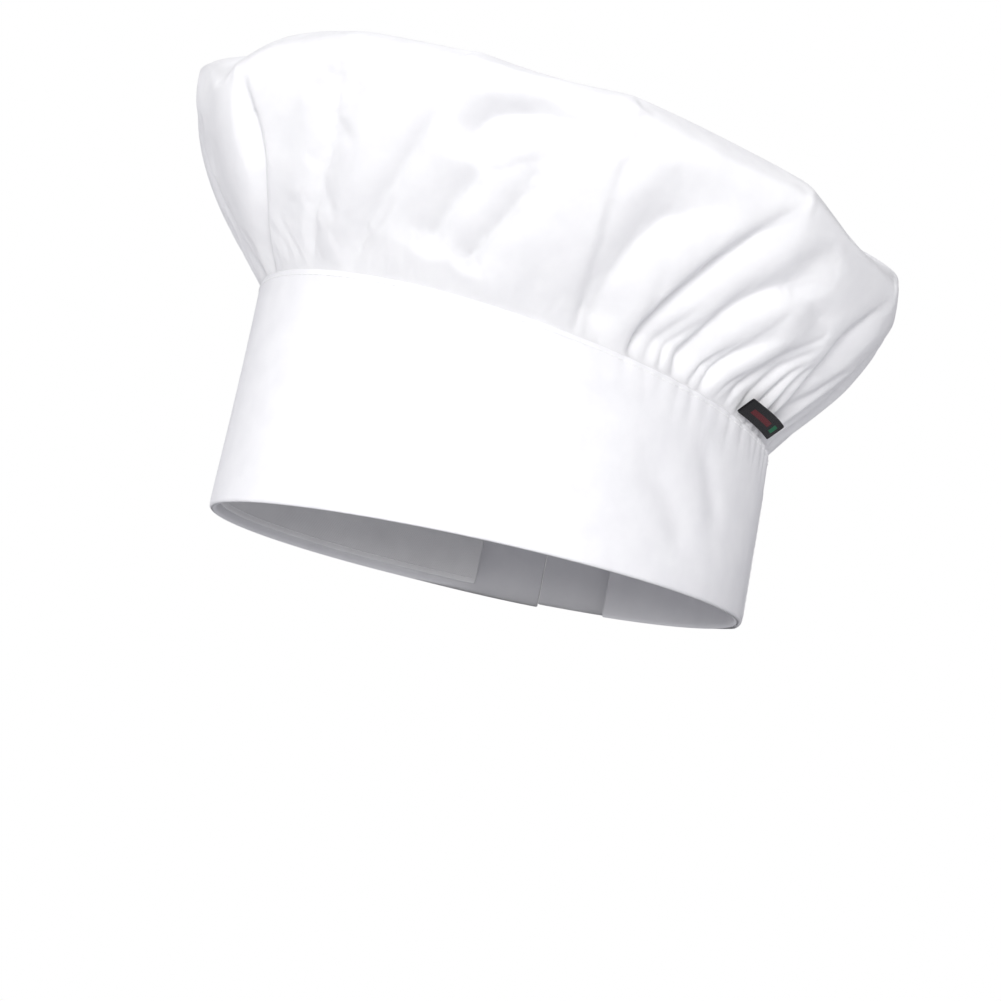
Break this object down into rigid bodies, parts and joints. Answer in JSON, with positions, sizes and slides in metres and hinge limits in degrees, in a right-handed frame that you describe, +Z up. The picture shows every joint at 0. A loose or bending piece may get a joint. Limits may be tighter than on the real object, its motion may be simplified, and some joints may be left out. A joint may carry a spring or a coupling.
{
  "type": "chef toque",
  "caption": "White cotton chef's toque: a gathered, softly pouffed crown on a smooth stiffened head band that closes at the back with a hook-and-loop tab.",
  "frame": {"origin": "centre of the head opening, in the plane of the band's lower edge", "axes": "+Z up through the crown; the front of the hat faces -Y and the closure is at +Y; +X is the wearer's left, where the side label is"},
  "size_m": [0.2488, 0.2694, 0.1706],
  "materials": {
    "white_cotton": "plain-woven white cotton and polyester, matt",
    "white_nylon": "white nylon hook-and-loop tape",
    "stiffener": "stiff bonded interlining",
    "label_black": "black woven ribbon with plain coloured bars and no lettering"
  },
  "bodies": {
    "hat": {"band_cover": "white_cotton", "band_stiffener": "stiffener", "bartack_over_end": "white_cotton", "bartack_under_end": "white_cotton", "crown": "white_cotton", "crown_seam_bobbin_thread": "white_cotton", "crown_seam_needle_thread": "white_cotton", "loop_tape": "white_nylon", "loop_tape_stitching": "white_cotton", "slit_binding": "white_cotton", "sweatband": "white_cotton", "sweatband_lower_stitching": "white_cotton", "sweatband_upper_stitching": "white_cotton"},
    "closure_tab": {"tab_cover": "white_cotton", "tab_stiffener": "stiffener", "tab_stitching": "white_cotton", "hook_tape": "white_nylon", "hook_tape_stitching": "white_cotton"},
    "side_label": {"side_label": "label_black"},
    "care_label": {"care_label": "white_cotton", "care_label_stitching": "white_cotton"}
  },
  "joints": [
    {"name": "closure_tab_peel", "type": "hinge", "parent": "hat", "child": "closure_tab", "pos_m": [-0.05967, 0.08304, 0], "axis": [0, 0, 1], "range_deg": [0, 110]},
    {"name": "side_label_flip", "type": "hinge", "parent": "hat", "child": "side_label", "pos_m": [0.07335, 0.05117, 0.06599], "axis": [-0.4135, 0.9045, -0.1044], "range_deg": [0, 115]},
    {"name": "care_label_flip", "type": "hinge", "parent": "hat", "child": "care_label", "pos_m": [0.03953, 0.08632, 0.057], "axis": [-0.8155, 0.5788, 0], "range_deg": [0, 85]}
  ]
}
